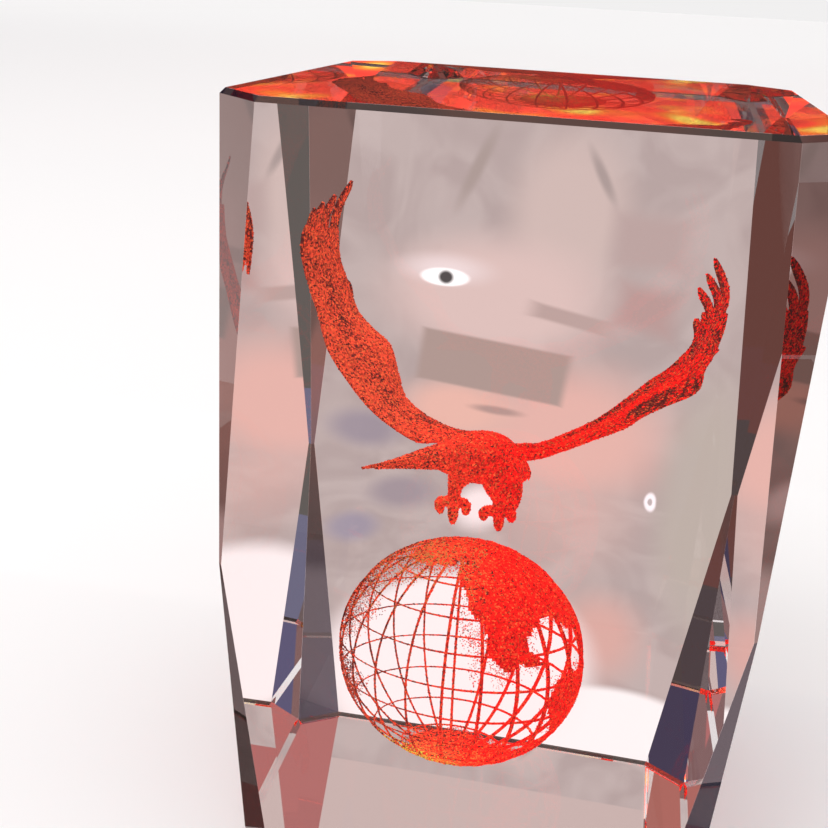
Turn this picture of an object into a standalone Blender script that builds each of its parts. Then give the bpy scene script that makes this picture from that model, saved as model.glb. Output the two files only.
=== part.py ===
"""A clear crystal block with diamond-cut corners, one solid piece of glass.

The block is a square column that stands on its underside. Each of its four
upright corners is ground back by two flat facets, an upper and a lower one.
They are widest at the top and bottom rims, and meet at a narrow waist. A fine
polished chamfer runs round the top and the bottom.

Metres, +Z up. The origin is the middle of the underside, and the front looks
along -Y.
"""

import bmesh
import bpy
from mathutils import Vector

# The column
BLOCK_WIDTH = 0.050
BLOCK_DEPTH = 0.050
BLOCK_HEIGHT = 0.080

# The corner facets: how high they meet, and how far back from the square
# corner they cut, along X and along Y, at the rims and at the waist
WAIST_HEIGHT = 0.0378
RIM_CORNER_CUT = 0.0047
WAIST_CORNER_CUT = 0.00035

# The polished chamfer round the top and the bottom
RIM_CHAMFER = 0.00045

# Polished optical crystal
CRYSTAL_COLOUR = (0.98, 0.94, 0.94, 1.0)
CRYSTAL_ROUGHNESS = 0.0
CRYSTAL_IOR = 1.517

# Vertices closer than this to a plane count as lying on it
ON_PLANE = 0.00001


def clear_scene():
    for scene_object in list(bpy.data.objects):
        bpy.data.objects.remove(scene_object)


def new_collection(name):
    collection = bpy.data.collections.new(name)
    bpy.context.scene.collection.children.link(collection)
    return collection


def crystal_material():
    material = bpy.data.materials.new("crystal")
    material.use_nodes = True
    shader = material.node_tree.nodes["Principled BSDF"]
    shader.inputs["Base Color"].default_value = CRYSTAL_COLOUR
    shader.inputs["Metallic"].default_value = 0.0
    shader.inputs["Roughness"].default_value = CRYSTAL_ROUGHNESS
    shader.inputs["IOR"].default_value = CRYSTAL_IOR
    shader.inputs["Transmission Weight"].default_value = 1.0
    return material


def square_column(mesh):
    """The whole column, before its corners are cut."""
    bmesh.ops.create_cube(mesh, size=1.0)
    bmesh.ops.translate(mesh, verts=mesh.verts, vec=(0.0, 0.0, 0.5))
    bmesh.ops.scale(mesh, verts=mesh.verts, vec=(BLOCK_WIDTH, BLOCK_DEPTH, BLOCK_HEIGHT))


def cut_away(mesh, point, normal):
    """Cuts off what lies beyond a plane and closes the cut with one flat face."""
    cut = bmesh.ops.bisect_plane(
        mesh,
        geom=mesh.verts[:] + mesh.edges[:] + mesh.faces[:],
        dist=ON_PLANE,
        plane_co=point,
        plane_no=normal,
        clear_outer=True,
    )
    rim = [item for item in cut["geom_cut"] if isinstance(item, bmesh.types.BMEdge)]
    bmesh.ops.edgenet_fill(mesh, edges=rim)


def cut_corner_facet(mesh, side_x, side_y, rim_height):
    """Grinds one facet, from the waist to the rim at rim_height."""
    waist_point = Vector((
        side_x * (BLOCK_WIDTH / 2 - WAIST_CORNER_CUT),
        side_y * BLOCK_DEPTH / 2,
        WAIST_HEIGHT,
    ))
    rim_point = Vector((
        side_x * (BLOCK_WIDTH / 2 - RIM_CORNER_CUT),
        side_y * BLOCK_DEPTH / 2,
        rim_height,
    ))
    across = Vector((side_x, -side_y, 0.0))
    outward = across.cross(rim_point - waist_point)
    if outward.x * side_x < 0:
        outward.negate()
    cut_away(mesh, waist_point, outward.normalized())


def chamfer_rims(mesh):
    """Bevels the edges round the top and round the bottom by one flat strip."""
    rim_edges = [
        edge
        for edge in mesh.edges
        for height in (0.0, BLOCK_HEIGHT)
        if all(abs(corner.co.z - height) < ON_PLANE for corner in edge.verts)
    ]
    bmesh.ops.bevel(
        mesh,
        geom=rim_edges,
        affect="EDGES",
        offset=RIM_CHAMFER,
        segments=1,
        profile=0.5,
        material=-1,
    )


def crystal_block(collection):
    mesh = bmesh.new()
    square_column(mesh)
    for side_x in (-1, 1):
        for side_y in (-1, 1):
            for rim_height in (0.0, BLOCK_HEIGHT):
                cut_corner_facet(mesh, side_x, side_y, rim_height)
    chamfer_rims(mesh)
    bmesh.ops.recalc_face_normals(mesh, faces=mesh.faces)
    data = bpy.data.meshes.new("crystal_block")
    mesh.to_mesh(data)
    mesh.free()
    data.materials.append(crystal_material())
    block = bpy.data.objects.new("crystal_block", data)
    collection.objects.link(block)
    return block


def main():
    clear_scene()
    paperweight = new_collection("eagle_paperweight")
    crystal_block(paperweight)


main()
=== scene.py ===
import math

import bmesh
import bpy
import numpy as np
from mathutils import Matrix, Vector


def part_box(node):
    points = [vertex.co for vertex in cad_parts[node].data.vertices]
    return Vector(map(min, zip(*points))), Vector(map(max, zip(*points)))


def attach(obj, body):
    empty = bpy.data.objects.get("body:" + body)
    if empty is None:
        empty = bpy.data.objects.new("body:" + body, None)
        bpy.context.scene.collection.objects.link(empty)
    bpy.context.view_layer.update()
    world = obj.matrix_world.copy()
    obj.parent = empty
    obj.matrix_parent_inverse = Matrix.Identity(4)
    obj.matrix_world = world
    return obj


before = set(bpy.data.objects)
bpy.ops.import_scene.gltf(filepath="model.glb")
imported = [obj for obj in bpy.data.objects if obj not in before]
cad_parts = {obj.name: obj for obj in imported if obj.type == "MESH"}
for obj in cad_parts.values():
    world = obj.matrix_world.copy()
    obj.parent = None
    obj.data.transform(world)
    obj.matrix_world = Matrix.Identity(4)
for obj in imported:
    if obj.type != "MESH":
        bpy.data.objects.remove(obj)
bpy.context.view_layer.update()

bl_info = {
    "name": "Engraved crystal block",
    "version": (1, 0, 0),
    "blender": (4, 5, 0),
    "location": "View3D > Sidebar > Crystal",
    "description": "Dresses a crystal block and engraves an eagle over a globe inside it",
    "category": "Object",
}

BLOCK_LOW, BLOCK_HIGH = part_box("crystal_block")
MM = 0.001
ROOT = "root"
# The narrow rims round the two ends, the waist where the corner facets meet, and how far
# inside a flat face a point has to lie before it counts as off that face
RIM_HEIGHT = 0.45 * MM
WAIST_HEIGHT = 37.8 * MM
FACE_MARGIN = 0.01 * MM
# The slanted line along which faces are put in order
SORT_LINE = Vector((1.0, 0.61, 0.37))
# Least and greatest size of a laser mark, as shares of the dot radius
MARK_SIZES = (0.75, 1.3)


# Settings

COLOUR = {"subtype": "COLOR", "size": 3, "min": 0.0, "max": 1.0}
LENGTH = {"subtype": "DISTANCE", "unit": "LENGTH"}


class CrystalSettings(bpy.types.PropertyGroup):
    tint: bpy.props.FloatVectorProperty(
        name="Crystal tint",
        description="Colour that light takes on as it passes through the block",
        default=(0.86, 0.8, 0.8),
        **COLOUR,
    )
    # Painted shade on the long corner facets, given as a dark colour of the glass there
    painted_facet_shade: bpy.props.FloatVectorProperty(
        name="Facet tint",
        description="Colour that light takes on through the long corner facets",
        default=(0.095, 0.047, 0.042),
        **COLOUR,
    )
    # Deeper painted shade on the lower halves of the corner facets
    painted_low_facet_shade: bpy.props.FloatVectorProperty(
        name="Lower facet tint",
        description="Colour that light takes on through the lower halves of those facets",
        default=(0.018, 0.012, 0.0125),
        **COLOUR,
    )
    # Painted shade on the narrow rims of the two ends
    painted_rim_shade: bpy.props.FloatVectorProperty(
        name="Rim tint",
        description="Colour that light takes on through the narrow rims of the two ends",
        default=(0.008, 0.005, 0.004),
        **COLOUR,
    )
    ior: bpy.props.FloatProperty(
        name="Refraction index",
        description="How strongly the crystal bends light",
        min=1.0,
        max=2.5,
        default=1.517,
    )


class EngravingSettings(bpy.types.PropertyGroup):
    dot_radius: bpy.props.FloatProperty(
        name="Dot radius",
        description="Half the width of one laser mark",
        default=0.085 * MM,
        **LENGTH,
    )
    dot_spacing: bpy.props.FloatProperty(
        name="Dot spacing",
        description="Mean distance between laser marks on a surface",
        default=0.2 * MM,
        **LENGTH,
    )
    # Painted light: the marks glow red, standing in for the red light from below the block
    glow: bpy.props.FloatProperty(
        name="Glow",
        description="Strength of the red light that the marks send out",
        min=0.0,
        default=1.1,
    )
    red: bpy.props.FloatVectorProperty(
        name="Red marks",
        description="Main colour of the lit marks",
        default=(0.68, 0.006, 0.004),
        **COLOUR,
    )
    orange: bpy.props.FloatVectorProperty(
        name="Orange marks",
        description="Colour of the marks on the left, where the light is warmer",
        default=(0.55, 0.052, 0.022),
        **COLOUR,
    )
    shade: bpy.props.FloatVectorProperty(
        name="Dark marks",
        description="Colour of the marks that turn their shaded side",
        default=(0.1, 0.012, 0.01),
        **COLOUR,
    )


class GlobeSettings(bpy.types.PropertyGroup):
    centre: bpy.props.FloatVectorProperty(
        name="Globe centre",
        description="Middle of the globe inside the block",
        subtype="TRANSLATION",
        unit="LENGTH",
        size=3,
        default=(-3.07 * MM, 0.0, 21.85 * MM),
    )
    radius: bpy.props.FloatProperty(
        name="Globe radius",
        description="From the middle of the globe to its surface",
        default=13.55 * MM,
        **LENGTH,
    )
    divisions: bpy.props.IntProperty(
        name="Divisions",
        description="How many meridians go round the globe",
        min=3,
        default=21,
    )
    turn: bpy.props.FloatProperty(
        name="Turn",
        description="How far the first meridian stands from the front",
        subtype="ANGLE",
        unit="ROTATION",
        default=math.radians(-2.1),
    )
    wire_width: bpy.props.FloatProperty(
        name="Wire width",
        description="Width of one meridian",
        default=0.23 * MM,
        **LENGTH,
    )


class StageSettings(bpy.types.PropertyGroup):
    floor_colour: bpy.props.FloatVectorProperty(
        name="Floor colour",
        description="Colour of the plain floor",
        default=(0.92, 0.91, 0.91),
        **COLOUR,
    )
    air_gap: bpy.props.FloatProperty(
        name="Air gap",
        description="Thin film of air between the block and the floor",
        default=0.5 * MM,
        **LENGTH,
    )


def settings(name):
    return getattr(bpy.context.scene, name)


# Shared tools


def new_object(name, data):
    piece = bpy.data.objects.new(name, data)
    bpy.context.scene.collection.objects.link(piece)
    return piece


def object_from(form, name, material):
    """Makes an object with one material of a form, which is used up."""
    data = bpy.data.meshes.new(name)
    form.to_mesh(data)
    form.free()
    data.materials.append(material)
    return new_object(name, data)


def aimed(place, direction, half_width, half_height):
    """A matrix that puts a flat shape at a place, sizes it and faces it in a direction."""
    turn = Vector(direction).to_track_quat("Z", "Y").to_matrix().to_4x4()
    size = Matrix.Diagonal((half_width, half_height, 1.0, 1.0))
    return Matrix.Translation(Vector(place)) @ turn @ size


def curve_through(points, count):
    """Evenly numbered points on a smooth curve through a few chosen ones."""
    knots = np.array(points, float)
    ends = np.vstack([2 * knots[0] - knots[1], knots, 2 * knots[-1] - knots[-2]])
    out = []
    for t in np.linspace(0.0, len(knots) - 1.0, count):
        k = min(int(t), len(knots) - 2)
        u = t - k
        a, b, c, d = ends[k:k + 4]
        out.append(0.5 * (
            2 * b + (c - a) * u + (2 * a - 5 * b + 4 * c - d) * u ** 2
            + (3 * b - a - 3 * c + d) * u ** 3
        ))
    return np.array(out)


def each_once(items):
    """The items without repeats, in the order in which they come."""
    return list(dict.fromkeys(items))


def sort_faces(form):
    """Puts the faces in order along a slanted line, since a solidified rim has no order."""
    form.faces.sort(key=lambda face: face.calc_center_median().dot(SORT_LINE))


def new_form():
    """An empty form whose points know their share of dark marks."""
    form = bmesh.new()
    form.verts.layers.float.new("shade")
    return form


def add_patch(form, place, tone, rows, columns, thickness):
    """A thin closed sheet of the points that place gives, with the marks that tone gives."""
    grid = bmesh.ops.create_grid(form, x_segments=rows, y_segments=columns, size=0.5)
    shade = form.verts.layers.float["shade"]
    for vert in grid["verts"]:
        u, v = vert.co.x + 0.5, vert.co.y + 0.5
        vert.co = place(u, v) * MM
        vert[shade] = tone(u, v)
    faces = each_once(face for vert in grid["verts"] for face in vert.link_faces)
    bmesh.ops.recalc_face_normals(form, faces=faces)
    bmesh.ops.solidify(form, geom=faces, thickness=thickness * MM)


def add_tube(form, stations, sides, tone):
    """A closed tube through stations of (point, direction, half width, half height)."""
    shade = form.verts.layers.float["shade"]
    rings = []
    made = []
    for index, (point, direction, half_width, half_height) in enumerate(stations):
        place = aimed(Vector(point) * MM, direction, half_width * MM, half_height * MM)
        capped = index in (0, len(stations) - 1)
        ring = bmesh.ops.create_circle(
            form, cap_ends=capped, segments=sides, radius=1.0, matrix=place)
        verts = ring["verts"]
        made += verts
        rings.append([e for v in verts for e in v.link_edges if e.other_vert(v) in verts])
    for first, second in zip(rings, rings[1:]):
        bmesh.ops.bridge_loops(form, edges=each_once(first + second))
    for vert in made:
        vert[shade] = tone
    faces = each_once(face for vert in made for face in vert.link_faces)
    bmesh.ops.recalc_face_normals(form, faces=faces)


def points_on(form, spacing, random):
    """Random points spread over a form's surface, one to each spacing squared."""
    copy = form.copy()
    bmesh.ops.triangulate(copy, faces=copy.faces)
    shade = copy.verts.layers.float["shade"]
    corners = np.array([[v.co for v in f.verts] for f in copy.faces], float)
    tones = np.array([[v[shade] for v in f.verts] for f in copy.faces], float)
    copy.free()
    side_a = corners[:, 1] - corners[:, 0]
    side_b = corners[:, 2] - corners[:, 0]
    area = np.linalg.norm(np.cross(side_a, side_b), axis=1) / 2
    count = int(area.sum() / spacing ** 2)
    picks = random.choice(len(area), count, p=area / area.sum())
    u, v = random.random((2, count))
    over = u + v > 1
    u[over], v[over] = 1 - u[over], 1 - v[over]
    centres = corners[picks, 0] + side_a[picks] * u[:, None] + side_b[picks] * v[:, None]
    return centres, tones[picks].mean(axis=1)


def dot_template():
    """One laser mark: a small four-sided grain."""
    grain = bmesh.new()
    bmesh.ops.create_cone(
        grain, cap_ends=True, cap_tris=True, segments=3, radius1=1.0, radius2=0.0, depth=1.5)
    bmesh.ops.remove_doubles(grain, verts=grain.verts, dist=0.001)
    bmesh.ops.triangulate(grain, faces=grain.faces)
    bmesh.ops.recalc_face_normals(grain, faces=grain.faces)
    verts = np.array([v.co for v in grain.verts], float)
    faces = np.array([[v.index for v in f.verts] for f in grain.faces], int)
    grain.free()
    return verts, faces


def random_turns(count, random):
    """Random rotation matrices, so that no two grains glint alike."""
    w, x, y, z = random.normal(size=(4, count))
    size = np.sqrt(w * w + x * x + y * y + z * z)
    w, x, y, z = w / size, x / size, y / size, z / size
    return np.array([
        [1 - 2 * (y * y + z * z), 2 * (x * y - z * w), 2 * (x * z + y * w)],
        [2 * (x * y + z * w), 1 - 2 * (x * x + z * z), 2 * (y * z - x * w)],
        [2 * (x * z - y * w), 2 * (y * z + x * w), 1 - 2 * (x * x + y * y)],
    ]).transpose(2, 0, 1)


def dots_mesh(centres, tones, radius, random):
    """A mesh with one grain at each centre, their sizes and turns varied."""
    verts, faces = dot_template()
    count = len(centres)
    turned = np.einsum("nij,vj->nvi", random_turns(count, random), verts)
    sizes = radius * random.uniform(*MARK_SIZES, (count, 1, 1))
    placed = centres[:, None, :] + turned * sizes
    numbered = faces[None] + (np.arange(count) * len(verts))[:, None, None]
    data = bpy.data.meshes.new("dots")
    data.from_pydata(placed.reshape(-1, 3), [], numbered.reshape(-1, 3).tolist())
    shade = data.attributes.new("shade", "FLOAT", "POINT")
    shade.data.foreach_set("value", np.repeat(tones, len(verts)))
    return data


def engraved_piece(name, form, centres, tones, radius, random):
    """Joins a form and the dots over it in one piece, rides it and paints it."""
    dots = dots_mesh(centres, tones, radius, random)
    form.from_mesh(dots)
    bpy.data.meshes.remove(dots)
    piece = object_from(form, name, engraving_material())
    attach(piece, ROOT)


# Shader tools


def new_material(name):
    """A new material, its node tree and its shader."""
    material = bpy.data.materials.new(name)
    material.use_nodes = True
    tree = material.node_tree
    return material, tree, tree.nodes["Principled BSDF"]


def feed(tree, socket, source):
    """Links a socket to another one, or gives it a number, a colour or a vector."""
    if isinstance(source, bpy.types.NodeSocket):
        tree.links.new(source, socket)
    elif socket.type == "RGBA":
        socket.default_value = (*source, 1.0)
    else:
        socket.default_value = source


def object_place(tree):
    """Where a point lies, in the object's own coordinates."""
    return tree.nodes.new("ShaderNodeTexCoord").outputs["Object"]


def axes_of(tree, vector):
    """A vector's X, Y and Z."""
    node = tree.nodes.new("ShaderNodeSeparateXYZ")
    feed(tree, node.inputs["Vector"], vector)
    return tuple(node.outputs)


def compute(tree, operation, *numbers):
    """The result of an operation on one or two numbers."""
    node = tree.nodes.new("ShaderNodeMath")
    node.operation = operation
    for socket, number in zip(node.inputs, numbers):
        feed(tree, socket, number)
    return node.outputs["Value"]


def compute_vector(tree, operation, *vectors):
    """The result of an operation on vectors, which is a number for a length or a distance."""
    node = tree.nodes.new("ShaderNodeVectorMath")
    node.operation = operation
    for socket, vector in zip(node.inputs, vectors):
        feed(tree, socket, vector)
    return node.outputs["Value" if operation in ("LENGTH", "DISTANCE") else "Vector"]


def brighten(tree, colour, factor):
    """A colour times a factor."""
    node = tree.nodes.new("ShaderNodeVectorMath")
    node.operation = "SCALE"
    feed(tree, node.inputs["Vector"], colour)
    feed(tree, node.inputs["Scale"], factor)
    return node.outputs["Vector"]


def remap(tree, number, low, high, to_low=0.0, to_high=1.0, smooth=False):
    """Brings the span from low to high to the span from to_low to to_high."""
    node = tree.nodes.new("ShaderNodeMapRange")
    if smooth:
        node.interpolation_type = "SMOOTHSTEP"
    feed(tree, node.inputs["Value"], number)
    for name, value in (
        ("From Min", low),
        ("From Max", high),
        ("To Min", to_low),
        ("To Max", to_high),
    ):
        node.inputs[name].default_value = value
    return node.outputs["Result"]


def blend(tree, share, under, over):
    """One colour laid over another by its share."""
    node = tree.nodes.new("ShaderNodeMix")
    node.data_type = "RGBA"
    feed(tree, node.inputs["Factor"], share)
    feed(tree, node.inputs["A"], under)
    feed(tree, node.inputs["B"], over)
    return node.outputs["Result"]


def noise(tree, size, detail, distortion=0.0):
    """A cloudy pattern whose patches have about the size given."""
    node = tree.nodes.new("ShaderNodeTexNoise")
    feed(tree, node.inputs["Vector"], object_place(tree))
    node.inputs["Scale"].default_value = 1.0 / size
    node.inputs["Detail"].default_value = detail
    node.inputs["Distortion"].default_value = distortion
    return node.outputs["Fac"]


def ramp(tree, number, stops):
    """Colours along a number, from stops of (position, colour) in rising order."""
    node = tree.nodes.new("ShaderNodeValToRGB")
    feed(tree, node.inputs["Fac"], number)
    elements = node.color_ramp.elements
    for position, _ in stops[1:-1]:
        elements.new(position)
    for element, (position, colour) in zip(elements, stops):
        element.position = position
        element.color = (*colour, 1.0)
    return node.outputs["Color"]


# Materials


def crystal_material():
    """Polished crystal, darker where a face is a corner facet or a rim: painted shade, deeper on
    the lower halves of the facets.
    """
    chosen = settings("crystal")
    material, tree, shader = new_material("polished_crystal")
    shader.inputs["Roughness"].default_value = 0.0
    shader.inputs["IOR"].default_value = chosen.ior
    shader.inputs["Transmission Weight"].default_value = 1.0
    # A corner facet lies inside the planes of the walls, a rim between a wall and an end
    half_width = (BLOCK_HIGH[0] - BLOCK_LOW[0]) / 2
    half_height = (BLOCK_HIGH[2] - BLOCK_LOW[2]) / 2
    rim_start = half_height - RIM_HEIGHT
    x, y, height = axes_of(tree, object_place(tree))
    off_axis = compute(
        tree, "MAXIMUM", compute(tree, "ABSOLUTE", x), compute(tree, "ABSOLUTE", y))
    from_middle = compute(
        tree, "ABSOLUTE", compute(tree, "SUBTRACT", height, half_height))
    inside_walls = compute(tree, "LESS_THAN", off_axis, half_width - FACE_MARGIN)
    between_rims = compute(tree, "LESS_THAN", from_middle, rim_start)
    past_rim_start = compute(tree, "GREATER_THAN", from_middle, rim_start)
    inside_ends = compute(tree, "LESS_THAN", from_middle, half_height - FACE_MARGIN)
    below_waist = compute(tree, "LESS_THAN", height, WAIST_HEIGHT)
    is_facet = compute(tree, "MULTIPLY", inside_walls, between_rims)
    is_low_facet = compute(tree, "MULTIPLY", is_facet, below_waist)
    is_rim = compute(tree, "MULTIPLY", past_rim_start, inside_ends)
    # Painted shade: the facets, their lower halves and the rims take dark colours
    colour = blend(tree, is_facet, chosen.tint, chosen.painted_facet_shade)
    colour = blend(tree, is_low_facet, colour, chosen.painted_low_facet_shade)
    colour = blend(tree, is_rim, colour, chosen.painted_rim_shade)
    feed(tree, shader.inputs["Base Color"], colour)
    return material


# How far the warm light reaches in from the left, and the size of the cells and patches
# that vary the marks
WARM_SPAN = (-12.0 * MM, 1.0 * MM)
CELL_SIZE = 0.17 * MM
PATCH_SIZE = 5.0 * MM
SPARKLE_COLOUR = (0.68, 0.13, 0.035)
# Warmer glints on the globe, in millimetres: middle, reach, share of grains, colour
GLINTS = (
    ((-8.0, -4.0, 33.0), 9.0, 0.4, (0.34, 0.115, 0.03)),
    ((-4.5, -4.0, 10.0), 8.0, 0.45, (0.42, 0.12, 0.025)),
    ((-6.8, -6.0, 10.8), 5.5, 0.5, (0.4, 0.36, 0.04)),
)


def random_numbers(tree, place):
    """Three random numbers for each small cell, so about three for each mark."""
    cells = tree.nodes.new("ShaderNodeTexVoronoi")
    cells.inputs["Scale"].default_value = 1.0 / CELL_SIZE
    feed(tree, cells.inputs["Vector"], place)
    split = tree.nodes.new("ShaderNodeSeparateColor")
    feed(tree, split.inputs["Color"], cells.outputs["Color"])
    return tuple(split.outputs)


def lift_of_slope(tree):
    """Faces turned up catch more light, so that the marks stay bright from above."""
    surface = tree.nodes.new("ShaderNodeNewGeometry")
    slope = axes_of(tree, surface.outputs["Normal"])[2]
    return remap(tree, slope, 0.3, 0.9, 1.0, 1.7)


def engraving_material():
    """Laser marks lit red: each grain takes its own shade from a fine cell pattern."""
    known = bpy.data.materials.get("lit_engraving")
    if known:
        return known
    chosen = settings("engraving")
    material, tree, shader = new_material("lit_engraving")
    place = object_place(tree)
    first, second, third = random_numbers(tree, place)
    warmth = remap(tree, axes_of(tree, place)[0], *WARM_SPAN)
    colour = blend(tree, warmth, chosen.orange, chosen.red)
    # Share of dark grains: set by the piece, with a few paler and darker patches
    piece_shade = tree.nodes.new("ShaderNodeAttribute")
    piece_shade.attribute_name = "shade"
    patches = remap(tree, noise(tree, PATCH_SIZE, 3.0), 0.35, 0.7, 0.35, 1.0)
    dark_share = compute(tree, "MULTIPLY", piece_shade.outputs["Fac"], patches)
    is_dark = compute(tree, "LESS_THAN", first, dark_share)
    colour = blend(tree, is_dark, colour, chosen.shade)
    # A share of the grains is more orange, the brighter the fewer
    colour = blend(tree, remap(tree, second, 0.72, 1.0, 0.0, 0.7), colour, SPARKLE_COLOUR)
    colour = brighten(tree, colour, remap(tree, third, 0.0, 1.0, 0.4, 1.2))
    for middle, reach, share, glint_colour in GLINTS:
        distance = compute_vector(tree, "DISTANCE", place, [value * MM for value in middle])
        near = remap(tree, distance, 0.2 * reach * MM, reach * MM, share, 0.0)
        is_glint = compute(tree, "LESS_THAN", third, near)
        colour = blend(tree, is_glint, colour, glint_colour)
    feed(tree, shader.inputs["Base Color"], colour)
    # Painted light: the marks glow in their own colour, brighter on faces turned up
    feed(tree, shader.inputs["Emission Color"], brighten(tree, colour, lift_of_slope(tree)))
    shader.inputs["Emission Strength"].default_value = chosen.glow
    shader.inputs["Roughness"].default_value = 0.6
    shader.inputs["Specular IOR Level"].default_value = 0.1
    return material


def plain_material(name, colour, roughness):
    material, tree, shader = new_material(name)
    feed(tree, shader.inputs["Base Color"], colour)
    shader.inputs["Roughness"].default_value = roughness
    return material


def glow_material(name, colour, strength=1.0):
    """A card of even brightness, which lights nothing by itself."""
    material, tree, shader = new_material(name)
    tree.nodes.remove(shader)
    glow = tree.nodes.new("ShaderNodeEmission")
    feed(tree, glow.inputs["Color"], colour)
    glow.inputs["Strength"].default_value = strength
    feed(tree, tree.nodes["Material Output"].inputs["Surface"], glow.outputs["Emission"])
    material.cycles.emission_sampling = "NONE"
    return material


# The eagle, in millimetres: it flies away to the right with its wings raised

LEFT_WING_LEADING = [
    (-2.5, 2.6, 46.8), (-5.9, 2.6, 47.0), (-9.4, 4.2, 48.0), (-11.7, 5.3, 49.5),
    (-12.6, 6.2, 51.8), (-13.6, 7.3, 54.4), (-15.6, 7.8, 55.9), (-17.5, 8.7, 57.4),
    (-18.8, 9.8, 60.3), (-19.8, 10.4, 62.6), (-20.2, 11.0, 66.0),
]
LEFT_WING_TRAILING = [
    (-5.0, -1.2, 46.4), (-6.9, -1.2, 46.7), (-9.0, -2.0, 46.7), (-11.6, -2.5, 48.1),
    (-14.0, -2.4, 49.8), (-16.6, -1.6, 52.4), (-18.8, -0.4, 55.1), (-20.2, 1.6, 58.2),
    (-21.5, 3.0, 60.9), (-22.1, 4.0, 63.6), (-21.9, 5.4, 66.0),
]
LEFT_PRIMARIES = [
    ((-20.0, 10.4, 62.0), (-20.2, 11.3, 66.5), (-18.6, 11.5, 70.2)),
    ((-20.6, 9.2, 61.8), (-21.0, 9.4, 66.0), (-19.9, 9.2, 69.0)),
    ((-21.0, 7.8, 61.5), (-21.5, 7.6, 65.5), (-20.8, 7.6, 68.4)),
    ((-21.4, 6.4, 61.2), (-21.9, 6.2, 65.0), (-21.4, 6.3, 67.9)),
    ((-21.7, 5.2, 61.0), (-22.1, 4.9, 64.2), (-21.8, 5.0, 66.6)),
    ((-18.3, 9.1, 57.6), (-18.3, 9.8, 59.0), (-18.8, 10.4, 60.5)),
]
RIGHT_WING_LEADING = [
    (-0.6, 2.6, 45.3), (1.6, 2.2, 45.4), (3.9, 1.9, 46.1), (8.8, 1.6, 48.8),
    (11.3, 1.4, 50.2), (12.8, 1.2, 51.6), (14.6, 0.8, 52.9), (17.4, 0.0, 54.9),
    (17.7, -0.6, 57.2), (18.3, -1.1, 59.0), (18.7, -1.8, 61.4), (18.7, -2.6, 63.4),
]
RIGHT_WING_TRAILING = [
    (-1.8, -1.2, 47.2), (1.7, -1.8, 47.8), (3.9, -2.4, 48.4), (7.7, -3.6, 51.1),
    (9.5, -4.1, 52.8), (10.9, -4.5, 54.3), (12.8, -5.2, 56.5), (14.2, -5.8, 57.9),
    (15.6, -6.4, 59.8), (16.2, -7.0, 61.2), (16.5, -7.5, 62.5), (16.4, -8.0, 63.4),
]
RIGHT_PRIMARIES = [
    ((17.9, -2.4, 60.5), (18.5, -3.8, 64.6), (16.9, -6.0, 68.3)),
    ((17.4, -4.0, 60.3), (17.9, -5.6, 64.2), (16.4, -8.0, 67.2)),
    ((16.9, -5.4, 60.0), (17.3, -7.2, 63.4), (15.8, -9.5, 66.2)),
    ((16.2, -6.8, 59.4), (16.5, -8.0, 61.6), (16.0, -9.0, 63.4)),
    ((17.2, -0.6, 56.4), (17.8, -0.8, 57.9), (18.8, -1.0, 59.3)),
]
TAIL_ROOT = (-6.3, -3.0, 45.8)
TAIL_TIP = (-12.4, -8.4, 45.3)
TAIL_SPREAD = (-0.59, 0.72, -0.36)
HEADING = (0.64, 0.77, -0.12)
WING_STATIONS = 81
# Last share of the span, in which the feathers crowd together
WING_END = 0.04
# Rows of feathers on a wing: how many, the shares across the wing of their roots and
# tips, their width as a share of the span, and how far they stand off the wing
FEATHER_ROWS = (
    (24, 0.5, 0.985, 0.07, 0.0),
    (18, 0.24, 0.74, 0.062, 0.24),
    (16, 0.06, 0.44, 0.07, 0.4),
)
# Tail, body, neck, head and beak: X, Y, Z, half width, half height
BODY_PROFILE = (
    (-7.2, -4.2, 45.9, 0.9, 0.9), (-5.6, -2.8, 45.8, 1.9, 1.8), (-3.7, -1.0, 45.5, 2.9, 2.6),
    (-1.9, 0.9, 45.2, 3.0, 2.8), (-0.6, 2.5, 44.8, 2.5, 2.4), (0.3, 3.8, 44.1, 1.8, 1.8),
    (0.9, 4.9, 43.4, 1.45, 1.45), (1.4, 5.8, 42.8, 1.2, 1.2), (1.75, 6.5, 42.5, 0.55, 0.6),
    (2.05, 7.1, 42.3, 0.4, 0.45), (2.2, 7.45, 41.9, 0.25, 0.3), (2.2, 7.5, 41.4, 0.06, 0.08),
)
# The rump: share of the tail's length, half width, half height
RUMP_PROFILE = (
    (0.0, 1.5, 1.35), (0.2, 1.25, 1.15), (0.45, 0.9, 0.8), (0.7, 0.7, 0.45), (1.0, 0.5, 0.15),
)
# Thighs: X, Y, Z, half width. Feet: a point. Toes: a knuckle and a claw each
LEFT_THIGH = (
    (-4.1, 0.6, 44.2, 1.5), (-4.6, 0.3, 42.9, 1.25), (-4.95, 0.1, 41.8, 0.78),
    (-5.0, 0.0, 40.9, 0.66), (-5.0, 0.0, 40.0, 0.85), (-5.0, 0.0, 39.6, 0.5),
)
LEFT_FOOT = (-5.0, 0.0, 40.1)
LEFT_TOES = (
    ((-6.4, -0.2, 39.9), (-6.2, -0.4, 38.7)), ((-4.9, -1.0, 39.4), (-4.85, -1.0, 37.9)),
    ((-3.8, 0.4, 39.8), (-3.7, 0.5, 38.6)), ((-4.9, 1.2, 39.7), (-4.9, 1.3, 38.8)),
)
RIGHT_THIGH = (
    (-0.6, -0.5, 44.4, 2.2), (0.15, -1.2, 42.8, 1.95), (0.45, -1.7, 41.8, 1.6),
    (0.4, -2.0, 40.9, 1.25), (0.1, -2.0, 40.2, 1.0), (0.0, -2.0, 39.8, 0.5),
)
RIGHT_FOOT = (-0.1, -2.0, 40.3)
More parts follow.
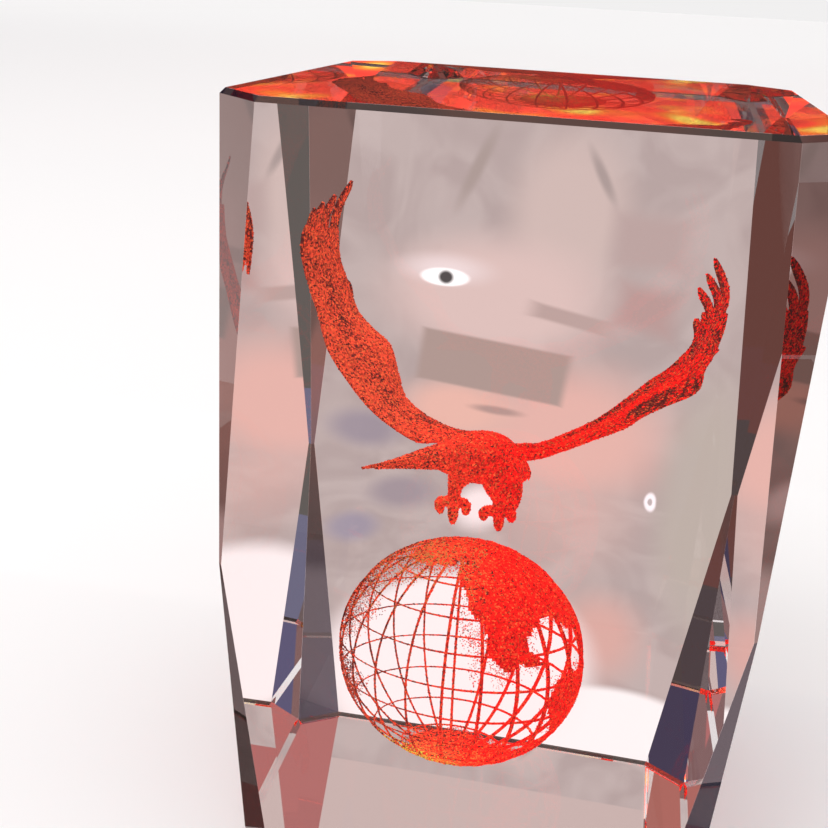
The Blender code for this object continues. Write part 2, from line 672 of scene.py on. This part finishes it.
RIGHT_TOES = (
    ((-1.5, -2.1, 40.1), (-1.6, -2.2, 39.1)), ((0.0, -2.9, 39.9), (0.1, -3.0, 38.4)),
    ((1.1, -1.6, 40.1), (1.2, -1.5, 39.1)), ((-0.1, -0.7, 40.0), (-0.1, -0.5, 39.2)),
)
TOE_GIRTHS = (0.6, 0.62, 0.6, 0.58, 0.57, 0.53, 0.44, 0.22)
# Shares of dark marks on the parts whose tone is even
ARM_SHADE, BODY_SHADE, THIGH_SHADE, TOE_SHADE = 0.12, 0.12, 0.15, 0.2
RUMP_SHADE, TAIL_SHADE = 0.4, 0.35


def wing_surface(leading, trailing, bulge):
    """A function that places a point by its shares along the span and across the wing."""
    front = curve_through(leading, WING_STATIONS)
    back = curve_through(trailing, WING_STATIONS)
    spans = np.linspace(0.0, 1.0, WING_STATIONS)
    outward = np.cross(np.gradient(front + back, axis=0), back - front)
    outward /= np.linalg.norm(outward, axis=1)[:, None]

    def place(along, across, lift=0.0):
        # What would reach past the wing's end is drawn in just before it
        if along > 1.0 - WING_END:
            along = 1.0 - WING_END * math.exp((1.0 - WING_END - along) / WING_END)
        near = [np.interp(along, spans, front[:, k]) for k in range(3)]
        far = [np.interp(along, spans, back[:, k]) for k in range(3)]
        out = [np.interp(along, spans, outward[:, k]) for k in range(3)]
        rise = lift + bulge * 4 * across * (1 - across)
        return Vector(near).lerp(Vector(far), across) + Vector(out) * rise

    return place


def blade_width(share):
    """Width of a feather along its length: full in the middle, round at the tip."""
    rounding = max(0.0, share - 0.72) / 0.28
    return min(1.0, 0.6 + share) * max(0.14, math.sqrt(1 - rounding ** 2))


def add_wing_feather(form, wing, start, roots, tips, sweep, width, lift, shade):
    """A feather that lies on the wing from the share roots across it to the share tips."""
    def place(u, v):
        side = width * (v - 0.5) * blade_width(u)
        return wing(start + sweep * u + side, roots + (tips - roots) * u, lift * (1 - 0.5 * u))

    def tone(u, v):
        edge = abs(2 * v - 1)
        return shade(start + sweep * u, roots + (tips - roots) * u) * (0.55 + 0.9 * edge)

    add_patch(form, place, tone, rows=7, columns=4, thickness=0.16)


def add_free_feather(form, path, side, width, tone_value):
    """A feather along a path of its own, such as the fingers of a wing."""
    line = curve_through(path, 12)
    steps = np.linspace(0.0, 1.0, len(line))
    across = Vector(side).normalized()

    def place(u, v):
        point = Vector([np.interp(u, steps, line[:, k]) for k in range(3)])
        return point + across * (width * (v - 0.5) * blade_width(u))

    def tone(u, v):
        return tone_value * (0.5 + abs(2 * v - 1))

    add_patch(form, place, tone, rows=10, columns=4, thickness=0.22)


def add_arm(form, leading, trailing):
    """The tapered arm, along the first two thirds of the wing's leading edge."""
    line = curve_through(leading, 24)[:17]
    inward = np.array(trailing[0]) - np.array(leading[0])
    inward = inward / np.linalg.norm(inward)
    last = len(line) - 1
    stations = []
    for k, point in enumerate(line):
        ahead = line[min(k + 1, last)] - line[max(k - 1, 0)]
        girth = 0.85 - 0.5 * (k / last)
        stations.append((point + inward * girth * 0.9, ahead, girth, girth * 0.8))
    add_tube(form, stations, 10, ARM_SHADE)


def build_wing(leading, trailing, primaries, bulge, shade):
    form = new_form()
    wing = wing_surface(leading, trailing, bulge)
    add_patch(form, wing, shade, rows=40, columns=8, thickness=0.3)
    for row, (count, roots, tips, width, lift) in enumerate(FEATHER_ROWS):
        for k in range(count):
            start = 0.04 + 0.9 * (k + 0.5 * (row % 2)) / count
            sweep = 0.05 + 0.1 * start
            for side in (-1, 1) if lift else (1,):
                add_wing_feather(
                    form, wing, start, roots, tips, sweep, width, side * lift, shade)
    spread = Vector(trailing[-1]) - Vector(leading[-1])
    for path in primaries:
        add_free_feather(form, path, spread, 1.6, shade(1.0, 0.5))
    add_arm(form, leading, trailing)
    sort_faces(form)
    return form


def left_shade(along, across):
    """Share of dark marks on the left wing: two faint stripes and a darker hand."""
    if along < 0.22 and across < 0.4:
        return 0.75
    stripe = math.exp(-((across - 0.6) / 0.13) ** 2) * min(1.0, 1.6 * along)
    return 0.2 + 0.45 * stripe + 0.4 * max(0.0, along - 0.5)


def right_shade(along, across):
    """Share of dark marks on the right wing: dark below the arm near its bend."""
    if 0.42 < along < 0.68 and across < 0.4:
        return 1.3
    if 0.28 < along < 0.62 and across > 0.7:
        return 0.8
    if along < 0.68 and 0.34 < across < 0.66:
        return 0.0
    return 0.15 + 0.5 * along


def build_body():
    form = new_form()
    profile = curve_through(BODY_PROFILE, 34)
    add_tube(form, [(row[:3], HEADING, row[3], row[4]) for row in profile], 22, BODY_SHADE)
    return form


def build_tail():
    """A rump and nine feathers that fan out from it."""
    form = new_form()
    root, tip, spread = Vector(TAIL_ROOT), Vector(TAIL_TIP), Vector(TAIL_SPREAD)
    along = tip - root
    rump = [(root + along * share, along, w, h) for share, w, h in RUMP_PROFILE]
    add_tube(form, rump, 14, RUMP_SHADE)
    for k in range(-4, 5):
        path = [
            root + spread * 0.12 * k,
            root + along * 0.55 + spread * 0.33 * k,
            tip + spread * 0.62 * k,
        ]
        add_free_feather(form, path, spread, 1.15, TAIL_SHADE)
    sort_faces(form)
    return form


def add_limb(form, line, girths, sides, tone):
    """A round tube along a line, with a half width at each of its points."""
    last = len(line) - 1
    add_tube(form, [
        (point, line[min(k + 1, last)] - line[max(k - 1, 0)], girth, girth)
        for k, (point, girth) in enumerate(zip(line, girths))
    ], sides, tone)


def add_leg(form, thigh, foot, toes):
    """A feathered thigh, a short shank and toes that curl down to their claws."""
    rows = curve_through(thigh, 12)
    add_limb(form, rows[:, :3], rows[:, 3], 14, THIGH_SHADE)
    for knuckle, claw in toes:
        line = curve_through([foot, knuckle, claw], len(TOE_GIRTHS))
        add_limb(form, line, TOE_GIRTHS, 10, TOE_SHADE)


def build_legs():
    form = new_form()
    add_leg(form, LEFT_THIGH, LEFT_FOOT, LEFT_TOES)
    add_leg(form, RIGHT_THIGH, RIGHT_FOOT, RIGHT_TOES)
    return form


class PAPERWEIGHT_OT_finish_crystal(bpy.types.Operator):
    """Gives the block its polished crystal"""

    bl_idname = "paperweight.finish_crystal"
    bl_label = "Finish the crystal"

    def execute(self, context):
        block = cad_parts["crystal_block"]
        block.data.materials.clear()
        block.data.materials.append(crystal_material())
        return {"FINISHED"}


class PAPERWEIGHT_OT_engrave_eagle(bpy.types.Operator):
    """Engraves the eagle"""

    bl_idname = "paperweight.engrave_eagle"
    bl_label = "Engrave the eagle"

    def execute(self, context):
        random = np.random.default_rng(7)
        chosen = settings("engraving")
        forms = {
            "eagle_left_wing": build_wing(
                LEFT_WING_LEADING, LEFT_WING_TRAILING, LEFT_PRIMARIES, 0.5, left_shade),
            "eagle_right_wing": build_wing(
                RIGHT_WING_LEADING, RIGHT_WING_TRAILING, RIGHT_PRIMARIES, -0.5, right_shade),
            "eagle_body": build_body(),
            "eagle_tail": build_tail(),
            "eagle_legs": build_legs(),
        }
        for name, form in forms.items():
            spacing = chosen.dot_spacing * (1.26 if name.endswith("wing") else 1.0)
            centres, tones = points_on(form, spacing, random)
            engraved_piece(name, form, centres, tones, chosen.dot_radius, random)
        return {"FINISHED"}


# The globe: outlines in degrees of longitude and latitude, and lengths in millimetres

NORTH_CAP, SOUTH_CAP = 74, -66
# How far the marks stray past a shore, and how far the shell keeps back from it
STRAY = 1.6
SHORE = 2.5
# Share of dark marks, high on the left of the globe and low on the right
TONE_PLACES = (-14 * MM, -5 * MM, 1 * MM)
TONES = (0.95, 0.4, 0.03)
# The wires grow thicker from the left of the globe to its right
GIRTH_PLACES = (-9.0, -3.0, 6.0)
GIRTHS = (1.0, 1.45, 2.0)
# Meridians stop a little short of the poles, at this latitude in radians
MERIDIAN_END = 1.5
MERIDIAN_POINTS = 33
PARALLEL_POINTS = 49


def globe_point(latitude, longitude, lift=0.0):
    """Points on the globe. Longitude 0 faces the front and grows to the right."""
    chosen = settings("globe")
    radius = chosen.radius + lift
    return np.stack([
        chosen.centre[0] + radius * np.cos(latitude) * np.sin(longitude),
        chosen.centre[1] - radius * np.cos(latitude) * np.cos(longitude),
        chosen.centre[2] + radius * np.sin(latitude) * np.ones_like(longitude),
    ], axis=-1)


LANDS = [
    [(-3, 62), (4, 50), (6, 42), (14, 36), (16, 22), (20, 17), (28, 11), (33, 15), (46, 13),
     (51, 8), (50, 16), (42, 25), (43, 30), (54, 35), (66, 34), (72, 27), (84, 26), (110, 34),
     (122, 55), (110, 78), (0, 78)],
    [(80, 10), (64, 11), (55, 9), (51, 3), (48, -6), (54, -15), (62, -28), (78, -32), (92, -20),
     (96, 0)],
    [(-10, 66), (-40, 62), (-70, 60), (-105, 72), (-60, 80), (0, 78)],
    [(0, -64), (30, -58), (60, -54), (95, -58), (120, -66), (60, -72)],
]
SPARSE_LANDS = [
    [(-3, 62), (-27, 58), (-37, 50), (-53, 46), (-62, 36), (-80, 32), (-98, 46), (-105, 72),
     (-60, 80), (0, 78)],
    [(-65, 3), (-53, 5), (-55, -20), (-62, -25), (-75, -15), (-80, 0)],
    [(-100, 25), (-128, 14), (-131, 2), (-115, -6), (-100, -5), (-90, 5)],
    [(-95, -15), (-112, -32), (-85, -35), (-78, -22)],
    [(170, -6), (184, -10), (178, -17), (166, -14)],
    [(154, -24), (168, -28), (160, -35), (150, -31)],
    [(-2, 50), (6, 42), (16, 22), (14, 8), (10, 6), (10, 20), (0, 40)],
]


def land_mask(longitude, latitude, lands):
    """Which of the points, in degrees, lie on the lands or on the two ice caps."""
    on_land = (latitude > NORTH_CAP) | (latitude < SOUTH_CAP)
    for outline in lands:
        on_land |= inside(outline, longitude, latitude)
    return on_land


def inside(outline, longitude, latitude):
    """Which of the points lie inside an outline of (longitude, latitude) corners."""
    hit = np.zeros(len(longitude), bool)
    for (x0, y0), (x1, y1) in zip(outline, outline[1:] + outline[:1]):
        spans = (y0 > latitude) != (y1 > latitude)
        with np.errstate(divide="ignore", invalid="ignore"):
            cross = (x1 - x0) * (latitude - y0) / (y1 - y0) + x0
        hit ^= spans & (longitude < cross)
    return hit


def land_points(random, spacing, lands):
    """Random points over the lands, which fray a little past their shores."""
    chosen = settings("globe")
    count = int(4 * math.pi * chosen.radius ** 2 / spacing ** 2)
    latitude = np.arcsin(random.uniform(-1, 1, count))
    longitude = random.uniform(-math.pi, math.pi, count)
    frayed = np.degrees(np.stack([longitude, latitude])) + random.normal(0, STRAY, (2, count))
    on_land = land_mask(*frayed, lands)
    return globe_point(latitude[on_land], longitude[on_land])


def land_shell():
    """A thin closed shell over the lands, under their marks."""
    chosen = settings("globe")
    form = new_form()
    bmesh.ops.create_uvsphere(form, u_segments=200, v_segments=100, radius=chosen.radius)
    bmesh.ops.translate(form, verts=form.verts, vec=chosen.centre)
    middles = np.array([f.calc_center_median() for f in form.faces]) - np.array(chosen.centre)
    longitude = np.degrees(np.arctan2(middles[:, 0], -middles[:, 1]))
    latitude = np.degrees(np.arcsin(np.clip(middles[:, 2] / chosen.radius, -1, 1)))
    # The shell stops short of the shores, which are drawn by marks alone
    inland = land_mask(longitude, latitude, LANDS)
    for east, north in ((SHORE, 0), (-SHORE, 0), (0, SHORE), (0, -SHORE)):
        inland &= land_mask(longitude + east, latitude + north, LANDS)
    sea = [face for face, land in zip(form.faces, inland) if not land]
    bmesh.ops.delete(form, geom=sea, context="FACES")
    bmesh.ops.solidify(form, geom=form.faces[:], thickness=0.08 * MM)
    sort_faces(form)
    set_tones(form)
    return form


def globe_tone(x):
    return np.interp(x, TONE_PLACES, TONES)


def set_tones(form):
    shade = form.verts.layers.float["shade"]
    for vert in form.verts:
        vert[shade] = globe_tone(vert.co.x)


def add_wire(form, latitude, longitude, girth):
    """A thin closed tube along points of the globe."""
    points = globe_point(latitude, longitude) / MM
    ahead = np.gradient(points, axis=0)
    stations = []
    for point, direction in zip(points, ahead):
        half = girth * float(np.interp(point[0], GIRTH_PLACES, GIRTHS))
        stations.append((point, direction, half, half))
    add_tube(form, stations, 5, 0.0)


def globe_grid():
    """Meridians and parallels."""
    chosen = settings("globe")
    form = new_form()
    girth = chosen.wire_width / 2 / MM
    step = 2 * math.pi / chosen.divisions
    half_turn = np.linspace(-MERIDIAN_END, MERIDIAN_END, MERIDIAN_POINTS)
    for k in range(chosen.divisions):
        add_wire(form, half_turn, np.full(MERIDIAN_POINTS, chosen.turn + k * step), girth)
    turn = np.linspace(0, 2 * math.pi, PARALLEL_POINTS)
    for k in range(1, chosen.divisions // 2 + 1):
        add_wire(form, np.full(PARALLEL_POINTS, math.pi / 2 - k * step), turn, girth * 0.7)
    set_tones(form)
    return form


class PAPERWEIGHT_OT_engrave_globe(bpy.types.Operator):
    """Engraves the globe"""

    bl_idname = "paperweight.engrave_globe"
    bl_label = "Engrave the globe"

    def execute(self, context):
        random = np.random.default_rng(11)
        chosen = settings("engraving")
        shell = land_shell()
        lands = np.vstack([
            land_points(random, 0.95 * chosen.dot_spacing, LANDS),
            land_points(random, 1.05 * chosen.dot_spacing, SPARSE_LANDS),
        ])
        engraved_piece(
            "globe_lands", shell, lands, globe_tone(lands[:, 0]), chosen.dot_radius, random)
        grid = globe_grid()
        marks, tones = points_on(grid, 1.08 * chosen.dot_spacing, random)
        engraved_piece("globe_grid", grid, marks, tones, 0.85 * chosen.dot_radius, random)
        return {"FINISHED"}


# The stage

CAMERA_PLACE = (8.861 * MM, -105.936 * MM, 88.271 * MM)
CAMERA_YAW = -0.1724
CAMERA_PITCH = 0.455
CAMERA_ROLL = 0.0558
PICTURE_WIDTH = 828
FOCAL_PIXELS = 1040.4
CENTRE_PIXEL = (426.5, 494.8)
SENSOR_WIDTH = 36.0
LIGHT_PLACE = (-0.6, -0.5, 1.0)
LIGHT_AIM = (0, 0, 0.04)
FLOOR_HALF = 8.0
# Light crosses and mirrors in the block many times before it leaves
BOUNCES = 24
UP, DOWN = (0, 0, 1), (0, 0, -1)
# Cards round the block, in metres: name, centre, width, height, facing, colour
CARDS = (
    ("flag_behind", (0.0, 0.5, 0.17), 0.9, 0.16, (0, -1, 0), (0.04, 0.03, 0.028)),
    ("flag_front", (0.0, -0.7755, 0.0001), 1.6, 1.5, UP, (0.25, 0.23, 0.23)),
    ("flag_left", (-0.201, -0.0374, 0.0002), 0.252, 0.1254, UP, (0.15, 0.052, 0.04)),
    ("flag_left_near", (-0.0502, -0.0374, 0.0002), 0.0498, 0.1254, UP, (0.08, 0.055, 0.05)),
    ("flag_right", (0.201, -0.0374, 0.0002), 0.252, 0.1254, UP, (0.14, 0.13, 0.12)),
    ("flag_right_near", (0.0502, -0.0374, 0.0002), 0.0498, 0.1254, UP, (0.19, 0.19, 0.29)),
    ("flag_far_right", (0.33, 0.0, 0.031), 0.45, 0.06, (-1, 0, 0), (0.16, 0.12, 0.12)),
    ("flag_front_low", (0.2, -0.6, 0.12), 0.7, 0.17, (0, 1, 0), (0.16, 0.12, 0.12)),
    ("flag_red", (0.72, 0.69, 0.3), 0.3, 0.16, (-1, -1, 0), (0.3, 0.035, 0.03)),
    ("canopy_front", (0.0, -1.25, 0.59), 5.0, 1.5, DOWN, (0.25, 0.135, 0.13)),
    ("canopy", (-0.02, 0.0, 0.6), 0.46, 4.0, DOWN, (0.74, 0.6, 0.57)),
    ("canopy_left", (-0.47, 0.0, 0.6), 0.44, 4.0, DOWN, (0.5, 0.17, 0.14)),
    ("canopy_far_left", (-1.6, 0.0, 0.6), 1.82, 4.0, DOWN, (0.06, 0.045, 0.09)),
    ("canopy_right", (0.45, 0.0, 0.6), 0.48, 4.0, DOWN, (0.55, 0.2, 0.19)),
    ("canopy_far_right", (1.6, 0.0, 0.6), 1.82, 4.0, DOWN, (0.14, 0.13, 0.24)),
)


def set_camera():
    data = bpy.data.cameras.new("camera")
    camera = new_object("camera", data)
    bpy.context.scene.camera = camera
    forward = Vector((
        math.sin(CAMERA_YAW) * math.cos(CAMERA_PITCH),
        math.cos(CAMERA_YAW) * math.cos(CAMERA_PITCH),
        -math.sin(CAMERA_PITCH),
    ))
    level = Vector((math.cos(CAMERA_YAW), -math.sin(CAMERA_YAW), 0.0))
    above = level.cross(forward)
    right = level * math.cos(CAMERA_ROLL) + above * math.sin(CAMERA_ROLL)
    up = above * math.cos(CAMERA_ROLL) - level * math.sin(CAMERA_ROLL)
    turn = Matrix((right, up, -forward)).transposed().to_4x4()
    camera.matrix_world = Matrix.Translation(CAMERA_PLACE) @ turn
    data.sensor_width = SENSOR_WIDTH
    data.lens = FOCAL_PIXELS * SENSOR_WIDTH / PICTURE_WIDTH
    data.shift_x = (PICTURE_WIDTH / 2 - CENTRE_PIXEL[0]) / PICTURE_WIDTH
    data.shift_y = (CENTRE_PIXEL[1] - PICTURE_WIDTH / 2) / PICTURE_WIDTH
    data.clip_start = 0.001
    data.clip_end = 20.0


def add_light(name, place, aim, size, power):
    data = bpy.data.lights.new(name, "AREA")
    data.size = size
    data.energy = power
    light = new_object(name, data)
    light.location = place
    light.rotation_euler = (Vector(aim) - Vector(place)).to_track_quat("-Z", "Y").to_euler()


def hide_from_camera(card):
    card.visible_camera = False
    card.visible_diffuse = False
    card.visible_shadow = False


def add_card(name, centre, width, height, facing, colour, strength=1.0):
    """A flat card that only the crystal sees: it is what the facets mirror."""
    form = bmesh.new()
    place = aimed(centre, facing, width / 2, height / 2)
    bmesh.ops.create_grid(form, x_segments=1, y_segments=1, size=1.0, matrix=place)
    card = object_from(form, name, glow_material(name, colour, strength))
    hide_from_camera(card)
    return card


# The backdrop in millimetres: the near edge of its sheet, the wall behind, their heights
BACKDROP_NEAR = 25.3
BACKDROP_DISTANCE = 100.0
BACKDROP_LOW = 0.2
BACKDROP_HEIGHT = 73.0
BACKDROP_HALF_WIDTH = 200
BACKDROP_STOPS = ((0.38, (0.59, 0.49, 0.475)), (0.62, (0.68, 0.58, 0.56)))
LIGHT_STOPS = (
    (0.3, (0.95, 0.05, 0.03)),
    (0.52, (1.0, 0.08, 0.04)),
    (0.62, (1.0, 0.25, 0.03)),
    (0.72, (1.0, 0.8, 0.12)),
)
# Soft shapes on the backdrop and on the sheet before it, in millimetres: centre, half
# sizes, tilt in degrees, share of soft edge, whether it is a box, colour.
BACKDROP_SHAPES = (
    ((-1.0, 100, 53.0), (14.0, 30, 19.0), 0, 0.6, False, (0.8, 0.65, 0.61)),
    ((-18.0, 100, 60.0), (1.8, 30, 11.0), -24, 0.8, False, (0.52, 0.43, 0.4)),
    ((4.0, 100, 60.0), (1.4, 30, 7.5), 30, 0.8, False, (0.52, 0.43, 0.41)),
    ((13.5, 100, 49.5), (9.0, 30, 6.5), 0, 0.6, True, (0.63, 0.49, 0.47)),
    ((-13.0, 100, 37.0), (28.0, 30, 15.0), 0, 0.6, False, (0.92, 0.71, 0.67)),
    ((14.5, 100, 37.5), (8.0, 30, 6.0), -8, 0.7, True, (0.62, 0.43, 0.41)),
    ((4.0, 100, 12.0), (26.0, 60, 19.0), 0, 0.7, False, (1.0, 0.61, 0.54)),
    ((-19.0, 100, 14.5), (15.0, 20, 8.5), 0, 0.7, False, (1.05, 0.64, 0.54)),
    ((-12.5, 100, 23.8), (15.2, 30, 5.4), -5.5, 0.14, True, (0.54, 0.41, 0.37)),
    ((1.0, 100, 34.5), (9.5, 30, 1.8), -10, 0.5, True, (0.64, 0.48, 0.45)),
    ((-11.0, 100, 15.2), (7.0, 30, 1.2), -3, 0.7, False, (0.6, 0.4, 0.36)),
    ((30.0, 85, 5.0), (12.0, 50, 30.0), 0, 0.6, False, (0.65, 0.58, 0.52)),
    ((-37.0, 100, 8.5), (10.5, 20, 5.5), 0, 0.7, False, (0.45, 0.39, 0.45)),
    ((-27.0, 91, 0.0), (9.0, 10, 10.0), 0, 0.7, False, (0.47, 0.4, 0.44)),
    ((-32.5, 75, 0.0), (6.5, 8, 10.0), 0, 0.7, False, (0.46, 0.41, 0.5)),
    ((13.0, 52, 0.0), (9.5, 17, 20.0), 0, 0.8, False, (0.9, 0.55, 0.49)),
    # Painted light: bright pools on the sheet, then two painted lamp highlights on the wall,
    # each with a darker middle
    ((16.0, 29, 0.0), (15.0, 11, 40.0), 0, 0.2, False, (1.3, 1.25, 1.25)),
    ((-7.5, 41, 0.0), (22.5, 28, 40.0), 0, 0.3, False, (1.3, 1.2, 1.2)),
    ((-11.5, 89, 0.0), (7.0, 13, 5.0), 0, 0.7, False, (1.25, 1.1, 1.1)),
    ((-22.7, 100, 41.5), (12.0, 30, 4.0), 0, 0.9, False, (1.1, 0.95, 0.95)),
    ((-22.7, 100, 40.0), (5.2, 30, 1.9), 0, 0.3, False, (1.6, 1.6, 1.6)),
    ((-22.5, 100, 40.0), (1.8, 30, 1.6), 0, 0.5, False, (0.1, 0.09, 0.09)),
    ((20.4, 100, 0.2), (1.4, 5, 2.4), 0, 0.4, False, (1.4, 1.3, 1.35)),
    ((20.4, 100, 0.2), (0.6, 2, 1.0), 0, 0.5, False, (0.7, 0.6, 0.6)),
)


def add_shape(tree, below, shape):
    """Lays one soft shape over the colour that below gives."""
    centre, half_sizes, tilt, edge, is_box, colour = shape
    node = tree.nodes.new("ShaderNodeMapping")
    node.vector_type = "TEXTURE"
    node.inputs["Location"].default_value = [value * MM for value in centre]
    node.inputs["Rotation"].default_value = (0.0, math.radians(-tilt), 0.0)
    node.inputs["Scale"].default_value = [value * MM for value in half_sizes]
    feed(tree, node.inputs["Vector"], object_place(tree))
    local = node.outputs["Vector"]
    if is_box:
        x, _, z = axes_of(tree, compute_vector(tree, "ABSOLUTE", local))
        reach = compute(tree, "MAXIMUM", x, z)
    else:
        reach = compute_vector(tree, "LENGTH", local)
    return blend(tree, remap(tree, reach, 1.0 - edge, 1.0, 1.0, 0.0, smooth=True), below, colour)


def add_backdrop():
    """A mottled sheet behind the block that turns up into a wall, with painted pools of light
    and painted lamp highlights. Only the crystal sees it.
    """
    form = bmesh.new()
    grid = bmesh.ops.create_grid(form, x_segments=1, y_segments=2, size=1.0)
    for vert in grid["verts"]:
        away = BACKDROP_NEAR if vert.co.y < -0.5 else BACKDROP_DISTANCE
        high = BACKDROP_HEIGHT if vert.co.y > 0.5 else BACKDROP_LOW
        vert.co = Vector((BACKDROP_HALF_WIDTH * vert.co.x, away, high)) * MM
    material = glow_material("backdrop", (1, 1, 1))
    hide_from_camera(object_from(form, "backdrop", material))
    tree = material.node_tree
    colour = ramp(tree, noise(tree, 14 * MM, 2.0, 1.2), BACKDROP_STOPS)
    for shape in BACKDROP_SHAPES:
        colour = add_shape(tree, colour, shape)
    feed(tree, tree.nodes["Emission"].inputs["Color"], colour)


def add_light_sheet():
    """The red light below the block, with a few warmer spots. Only the crystal sees it."""
    sheet = add_card("light_sheet", (0, 0, -0.3 * MM), 46 * MM, 46 * MM, UP, (1, 1, 1), 4.6)
    tree = sheet.data.materials[0].node_tree
    colour = ramp(tree, noise(tree, 11 * MM, 1.0), LIGHT_STOPS)
    feed(tree, tree.nodes["Emission"].inputs["Color"], colour)


def paint_world(tree):
    """An even pale room that meets the floor without a visible edge."""
    place = tree.nodes.new("ShaderNodeTexCoord")
    height = axes_of(tree, place.outputs["Generated"])[2]
    share = remap(tree, height, 0.0, 0.15, smooth=True)
    room = blend(tree, share, (0.88, 0.87, 0.87), (1.0, 0.99, 0.99))
    feed(tree, tree.nodes["Background"].inputs["Color"], room)


def lay_floor():
    """A plain pale floor, a thin film of air below the block."""
    chosen = settings("stage")
    form = bmesh.new()
    bmesh.ops.create_grid(form, x_segments=1, y_segments=1, size=FLOOR_HALF)
    bmesh.ops.translate(form, verts=form.verts, vec=(0, 0, -chosen.air_gap))
    floor = object_from(
        form, "floor", plain_material("pale_floor", chosen.floor_colour, 0.6))


def set_world():
    world = bpy.data.worlds.new("soft_room")
    world.use_nodes = True
    paint_world(world.node_tree)
    bpy.context.scene.world = world


class PAPERWEIGHT_OT_set_stage(bpy.types.Operator):
    """Lays the floor and sets the lights and the camera"""

    bl_idname = "paperweight.set_stage"
    bl_label = "Set the stage"

    def execute(self, context):
        lay_floor()
        set_world()
        add_light("soft_key", LIGHT_PLACE, LIGHT_AIM, size=0.8, power=4.2)
        for card in CARDS:
            add_card(*card)
        add_backdrop()
        add_light_sheet()
        set_camera()
        context.scene.view_settings.view_transform = "Standard"
        context.scene.cycles.max_bounces = BOUNCES
        context.scene.cycles.transmission_bounces = BOUNCES
        context.scene.cycles.glossy_bounces = BOUNCES
        return {"FINISHED"}


class VIEW3D_PT_paperweight(bpy.types.Panel):
    bl_idname = "VIEW3D_PT_paperweight"
    bl_label = "Crystal paperweight"
    bl_space_type = "VIEW_3D"
    bl_region_type = "UI"
    bl_category = "Crystal"

    def draw(self, context):
        for operator in OPERATORS:
            self.layout.operator(operator.bl_idname)


GROUPS = {
    "crystal": CrystalSettings,
    "engraving": EngravingSettings,
    "globe": GlobeSettings,
    "stage": StageSettings,
}
OPERATORS = (
    PAPERWEIGHT_OT_finish_crystal,
    PAPERWEIGHT_OT_engrave_eagle,
    PAPERWEIGHT_OT_engrave_globe,
    PAPERWEIGHT_OT_set_stage,
)


def register():
    for name, group in GROUPS.items():
        bpy.utils.register_class(group)
        setattr(bpy.types.Scene, name, bpy.props.PointerProperty(type=group))
    for operator in OPERATORS:
        bpy.utils.register_class(operator)
    bpy.utils.register_class(VIEW3D_PT_paperweight)


def unregister():
    bpy.utils.unregister_class(VIEW3D_PT_paperweight)
    for operator in reversed(OPERATORS):
        bpy.utils.unregister_class(operator)
    for name, group in GROUPS.items():
        delattr(bpy.types.Scene, name)
        bpy.utils.unregister_class(group)


def main():
    register()
    bpy.ops.paperweight.finish_crystal()
    bpy.ops.paperweight.engrave_eagle()
    bpy.ops.paperweight.engrave_globe()
    bpy.ops.paperweight.set_stage()


if __name__ == "__main__":
    main()
